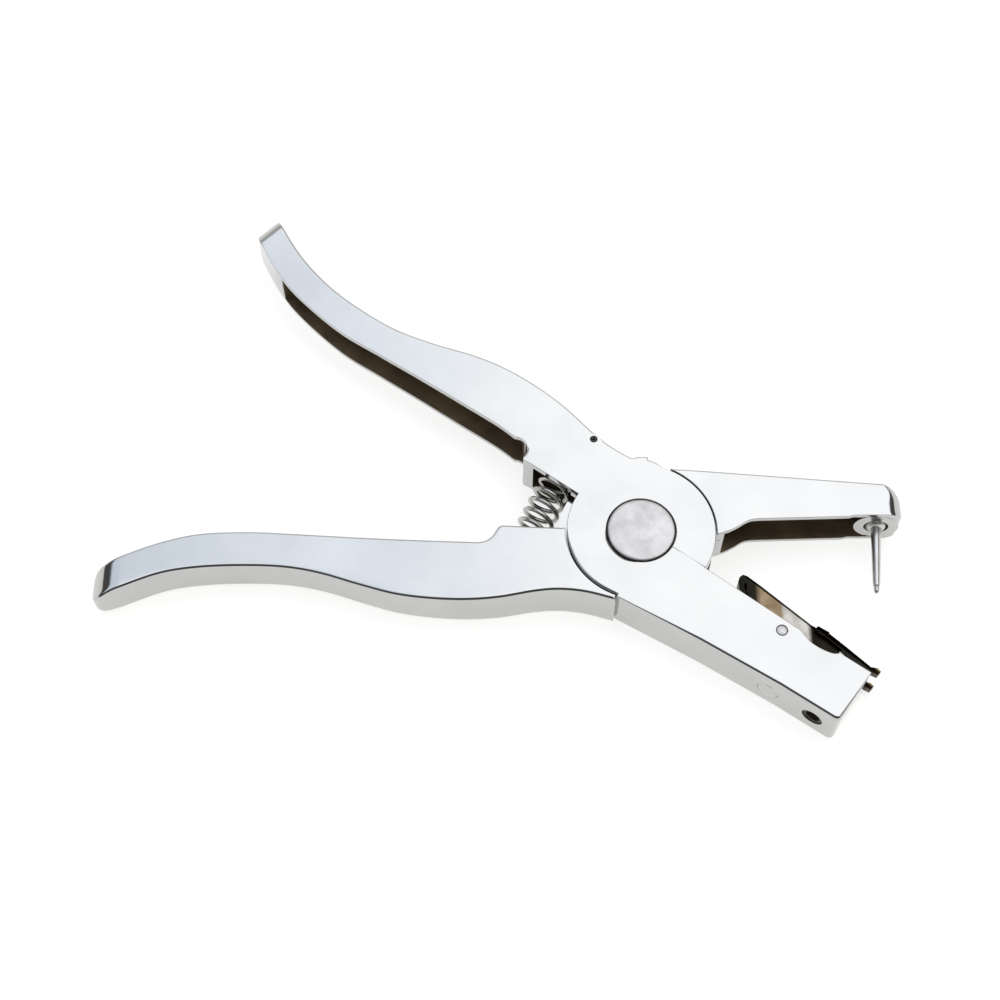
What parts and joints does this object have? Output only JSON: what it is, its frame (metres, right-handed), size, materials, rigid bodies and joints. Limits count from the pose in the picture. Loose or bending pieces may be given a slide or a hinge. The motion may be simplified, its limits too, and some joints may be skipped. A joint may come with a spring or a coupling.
{
  "type": "snap and ear tag setter pliers",
  "caption": "Chrome pliers with curved hollow handles, a return spring, a tapered pin on the upper jaw and a sprung fork clip on the lower jaw, for setting two-part studs.",
  "frame": {"origin": "on the pivot axis, at the back face that the pliers rest on", "axes": "+X towards the jaws, +Y towards the upper handle, +Z from the back face to the front face along the pivot"},
  "size_m": [0.2525, 0.1808, 0.0175],
  "materials": {
    "chrome": "polished chrome plate",
    "satin": "satin",
    "wire": "bright drawn wire",
    "pin": "polished",
    "clip": "dull, slightly brown",
    "dark": "dark oxide",
    "brass": "plain"
  },
  "bodies": {
    "clevis": {"clevis_lever": "chrome", "pivot_rivet": "satin", "pivot_rear_cap": "satin", "front_thrust_washer": "wire", "rear_thrust_washer": "wire", "return_spring": "wire", "spring_anchor_pin": "dark", "clip_rivet": "satin", "clip_torsion_spring": "wire", "anvil_bush": "dark", "jaw_screw": "satin"},
    "tongue": {"tongue_lever": "chrome", "pivot_bush": "brass", "applicator_pin": "pin", "pin_collar": "satin"},
    "clip": {"jaw_clip": "clip"}
  },
  "joints": [
    {"name": "lever_pivot", "type": "hinge", "parent": "clevis", "child": "tongue", "pos_m": [0, 0, 0.0085], "axis": [0, 0, -1], "range_deg": [0, 30], "stiffness_Nm_per_rad": 1.5, "springref_deg": -17.19, "deforming": ["return_spring"]},
    {"name": "clip_pivot", "type": "hinge", "parent": "clevis", "child": "clip", "pos_m": [0.0414, -0.0337, 0.0085], "axis": [0, 0, 1], "range_deg": [0, 12], "stiffness_Nm_per_rad": 0.15, "springref_deg": -28.65, "deforming": ["clip_torsion_spring"]}
  ]
}
